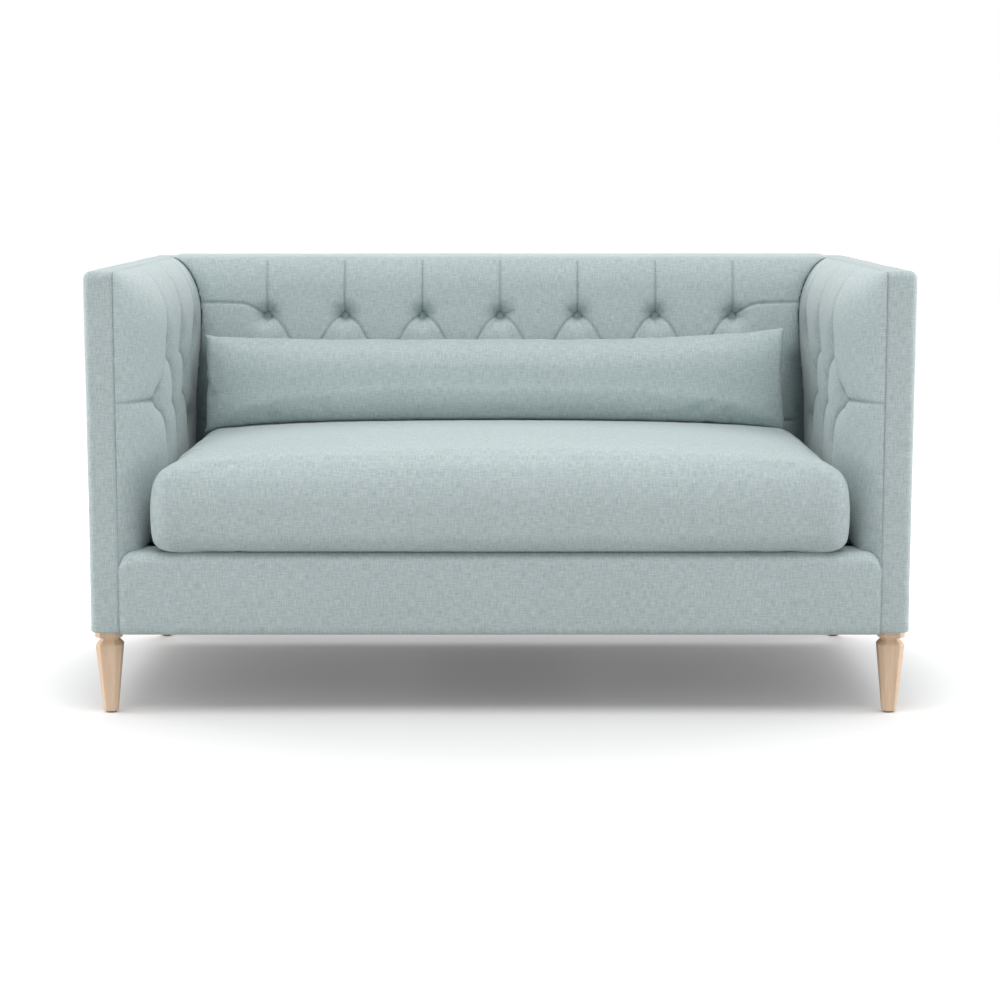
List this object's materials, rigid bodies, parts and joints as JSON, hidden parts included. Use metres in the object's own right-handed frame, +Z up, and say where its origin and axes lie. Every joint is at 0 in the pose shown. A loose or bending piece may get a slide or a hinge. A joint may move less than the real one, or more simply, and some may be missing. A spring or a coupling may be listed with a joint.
{
  "type": "two-seater sofa",
  "caption": "Boxy upholstered two-seater sofa with deep-buttoned inside arms and back, a loose seat cushion, a lumbar pillow and tapered wooden legs.",
  "frame": {"origin": "on the floor, at the middle of the overall width and depth", "axes": "+Z up, the front faces -Y, +X runs along the seat to the right as seen from the front"},
  "size_m": [1.52, 0.938, 0.826],
  "materials": {
    "upholstery": "matte",
    "lining": "matte",
    "hessian": "matte",
    "padding": "matte",
    "leg_wood": "satin",
    "frame_timber": "matte",
    "board": "matte",
    "steel": "satin",
    "glide": "matte"
  },
  "bodies": {
    "sofa": {"front_rail": "frame_timber", "rear_rail": "frame_timber", "side_rail_left": "frame_timber", "side_rail_right": "frame_timber", "centre_stretcher": "frame_timber", "arm_post_left": "frame_timber", "arm_post_right": "frame_timber", "back_post_left": "frame_timber", "back_post_right": "frame_timber", "arm_top_rail_left": "frame_timber", "arm_top_rail_right": "frame_timber", "arm_tuck_rail_left": "frame_timber", "arm_tuck_rail_right": "frame_timber", "back_top_rail": "frame_timber", "back_tuck_rail": "frame_timber", "back_brace": "frame_timber", "corner_blocks": "frame_timber", "frame_dowels": "leg_wood", "arm_board_left": "board", "arm_board_right": "board", "seat_springs": "steel", "spring_clips": "steel", "deck_hessian": "hessian", "deck_pad": "padding", "deck_cloth": "lining", "front_band": "upholstery", "back_webbing": "hessian", "back_hessian": "hessian", "back_foam": "padding", "inside_back": "upholstery", "back_buttons": "upholstery", "arm_foam_left": "padding", "arm_foam_right": "padding", "inside_arm_left": "upholstery", "inside_arm_right": "upholstery", "arm_buttons": "upholstery", "button_twines": "hessian", "arm_border_left": "upholstery", "arm_border_right": "upholstery", "outside_arm_left": "upholstery", "outside_arm_right": "upholstery", "back_top_band": "upholstery", "outside_back": "upholstery", "dust_cover": "lining", "leg_front_left": "leg_wood", "leg_front_right": "leg_wood", "leg_rear_left": "leg_wood", "leg_rear_right": "leg_wood", "leg_bolts": "steel", "leg_inserts": "steel", "foot_glides": "glide"},
    "seat_cushion": {"seat_cushion_cover": "upholstery", "seat_foam": "padding", "seat_zip": "lining"},
    "seat_zip_slider_body": {"seat_zip_slider": "steel"},
    "lumbar_pillow": {"pillow_cover": "upholstery", "pillow_insert": "padding", "pillow_zip": "lining"},
    "pillow_zip_slider_body": {"pillow_zip_slider": "steel"}
  },
  "joints": [
    {"name": "lift_seat_cushion", "type": "slide", "parent": "sofa", "child": "seat_cushion", "axis": [0, 0, 1], "range_m": [0, 0.55]},
    {"name": "lift_lumbar_pillow", "type": "slide", "parent": "seat_cushion", "child": "lumbar_pillow", "axis": [0, 0, 1], "range_m": [0, 0.45]},
    {"name": "seat_zip_slide", "type": "slide", "parent": "seat_cushion", "child": "seat_zip_slider_body", "axis": [1, 0, 0], "range_m": [-0.86, 0]},
    {"name": "pillow_zip_slide", "type": "slide", "parent": "lumbar_pillow", "child": "pillow_zip_slider_body", "axis": [1, 0, 0], "range_m": [-0.42, 0]}
  ]
}
